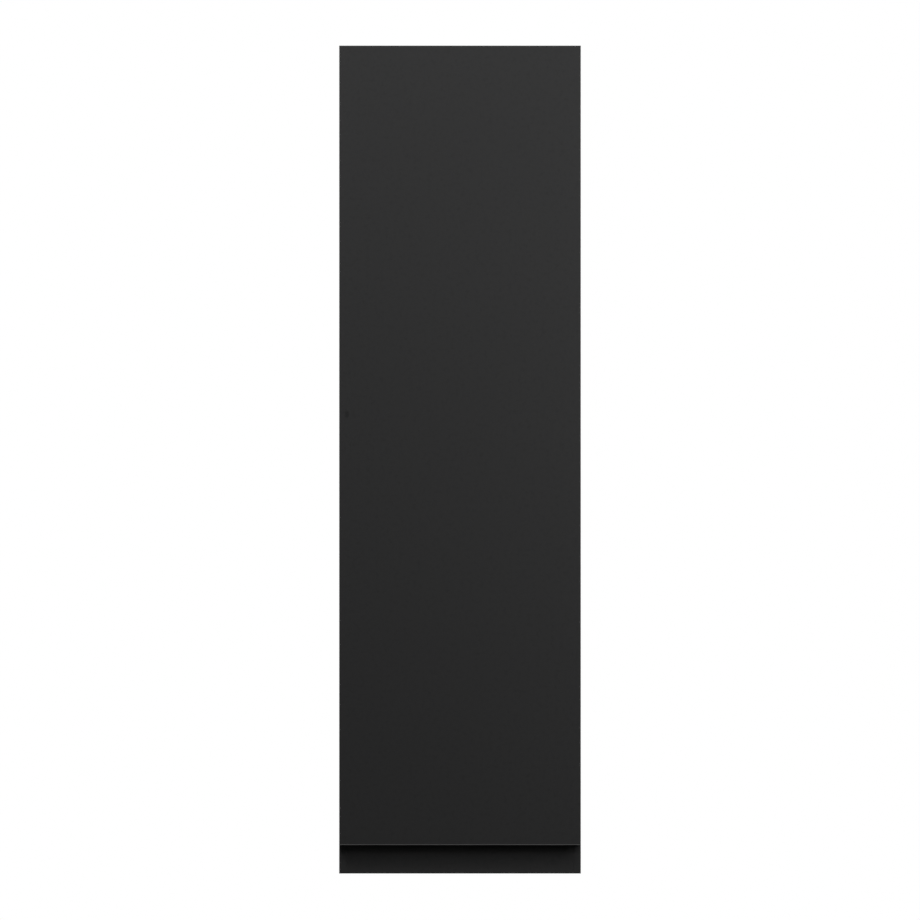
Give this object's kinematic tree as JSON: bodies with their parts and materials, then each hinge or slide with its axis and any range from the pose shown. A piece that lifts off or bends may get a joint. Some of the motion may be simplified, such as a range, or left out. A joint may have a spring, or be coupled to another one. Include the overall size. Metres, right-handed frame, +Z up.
{
  "type": "wardrobe",
  "caption": "Tall narrow wardrobe with a plain handle-less hinged door, recessed plinth, adjustable shelves, hanging rail, push latch and levelling feet.",
  "frame": {"origin": "on the floor, in the middle of the whole outline", "axes": "+Z up, -Y towards the front of the door, +X to the right of someone who faces the door"},
  "size_m": [0.6, 0.59, 2.056],
  "materials": {
    "charcoal_door": "super-matt charcoal foil on 19 mm board, square faces with small rounded edges",
    "graphite_board": "matt graphite melamine on 19 mm board",
    "grey_hardboard": "3 mm hardboard with a printed grey face",
    "nickel_plated_steel": "pressed steel, nickel plated",
    "bright_steel": "zinc or chrome plated steel",
    "black_plastic": "moulded black plastic",
    "grey_plastic": "moulded dark grey plastic"
  },
  "bodies": {
    "carcass": {"side_left": "graphite_board", "side_right": "graphite_board", "top_panel": "graphite_board", "bottom_panel": "graphite_board", "plinth_front": "graphite_board", "plinth_rear": "graphite_board", "back_lower": "grey_hardboard", "back_upper": "grey_hardboard", "back_joiner": "black_plastic", "lower_shelf": "graphite_board", "hat_shelf": "graphite_board", "lower_shelf_pin_left_front": "bright_steel", "lower_shelf_pin_left_rear": "bright_steel", "lower_shelf_pin_right_front": "bright_steel", "lower_shelf_pin_right_rear": "bright_steel", "hat_shelf_pin_left_front": "bright_steel", "hat_shelf_pin_left_rear": "bright_steel", "hat_shelf_pin_right_front": "bright_steel", "hat_shelf_pin_right_rear": "bright_steel", "hanging_rail": "bright_steel", "rail_socket_left": "bright_steel", "rail_socket_right": "bright_steel", "hinge_plate_1": "nickel_plated_steel", "hinge_arm_1": "nickel_plated_steel", "hinge_plate_2": "nickel_plated_steel", "hinge_arm_2": "nickel_plated_steel", "hinge_plate_3": "nickel_plated_steel", "hinge_arm_3": "nickel_plated_steel", "hinge_plate_4": "nickel_plated_steel", "hinge_arm_4": "nickel_plated_steel", "latch_housing": "grey_plastic", "leveller_housing_1": "black_plastic", "leveller_cap_1": "grey_plastic", "leveller_housing_2": "black_plastic", "leveller_cap_2": "grey_plastic", "leveller_housing_3": "black_plastic", "leveller_cap_3": "grey_plastic", "leveller_housing_4": "black_plastic", "leveller_cap_4": "grey_plastic", "wall_bracket_left": "bright_steel", "wall_bracket_right": "bright_steel"},
    "door": {"door_panel": "charcoal_door", "hinge_cup_1": "nickel_plated_steel", "hinge_cup_2": "nickel_plated_steel", "hinge_cup_3": "nickel_plated_steel", "hinge_cup_4": "nickel_plated_steel", "latch_strike": "bright_steel"},
    "hinge_outer_links": {"hinge_outer_link_1": "nickel_plated_steel", "hinge_outer_link_2": "nickel_plated_steel", "hinge_outer_link_3": "nickel_plated_steel", "hinge_outer_link_4": "nickel_plated_steel"},
    "hinge_inner_links": {"hinge_inner_link_1": "nickel_plated_steel", "hinge_inner_link_2": "nickel_plated_steel", "hinge_inner_link_3": "nickel_plated_steel", "hinge_inner_link_4": "nickel_plated_steel"},
    "latch_plunger": {"latch_plunger": "black_plastic"},
    "foot_1": {"leveller_foot_1": "black_plastic"},
    "foot_2": {"leveller_foot_2": "black_plastic"},
    "foot_3": {"leveller_foot_3": "black_plastic"},
    "foot_4": {"leveller_foot_4": "black_plastic"}
  },
  "joints": [
    {"name": "door_swing", "type": "hinge", "parent": "carcass", "child": "door", "pos_m": [0.294, -0.289, 1.063], "axis": [0, 0, 1], "range_deg": [0, 105]},
    {"name": "outer_link_swing", "type": "hinge", "parent": "carcass", "child": "hinge_outer_links", "pos_m": [0.294, -0.289, 1.063], "axis": [0, 0, 1], "range_deg": [0, 37.9]},
    {"name": "inner_link_swing", "type": "hinge", "parent": "carcass", "child": "hinge_inner_links", "pos_m": [0.294, -0.289, 1.063], "axis": [0, 0, 1], "range_deg": [0, 76.7]},
    {"name": "latch_push", "type": "slide", "parent": "carcass", "child": "latch_plunger", "axis": [0, -1, 0], "range_m": [0, 0.0201]},
    {"name": "foot_screw_1", "type": "slide", "parent": "carcass", "child": "foot_1", "axis": [0, 0, -1], "range_m": [0, 0.012]},
    {"name": "foot_screw_2", "type": "slide", "parent": "carcass", "child": "foot_2", "axis": [0, 0, -1], "range_m": [0, 0.012]},
    {"name": "foot_screw_3", "type": "slide", "parent": "carcass", "child": "foot_3", "axis": [0, 0, -1], "range_m": [0, 0.012]},
    {"name": "foot_screw_4", "type": "slide", "parent": "carcass", "child": "foot_4", "axis": [0, 0, -1], "range_m": [0, 0.012]}
  ],
  "couplings": [
    {"joint": "outer_link_swing", "follows": "door_swing", "ratio": 0.36},
    {"joint": "inner_link_swing", "follows": "door_swing", "ratio": 0.73},
    {"joint": "latch_push", "follows": "door_swing", "m_per_rad": 0.0109}
  ]
}
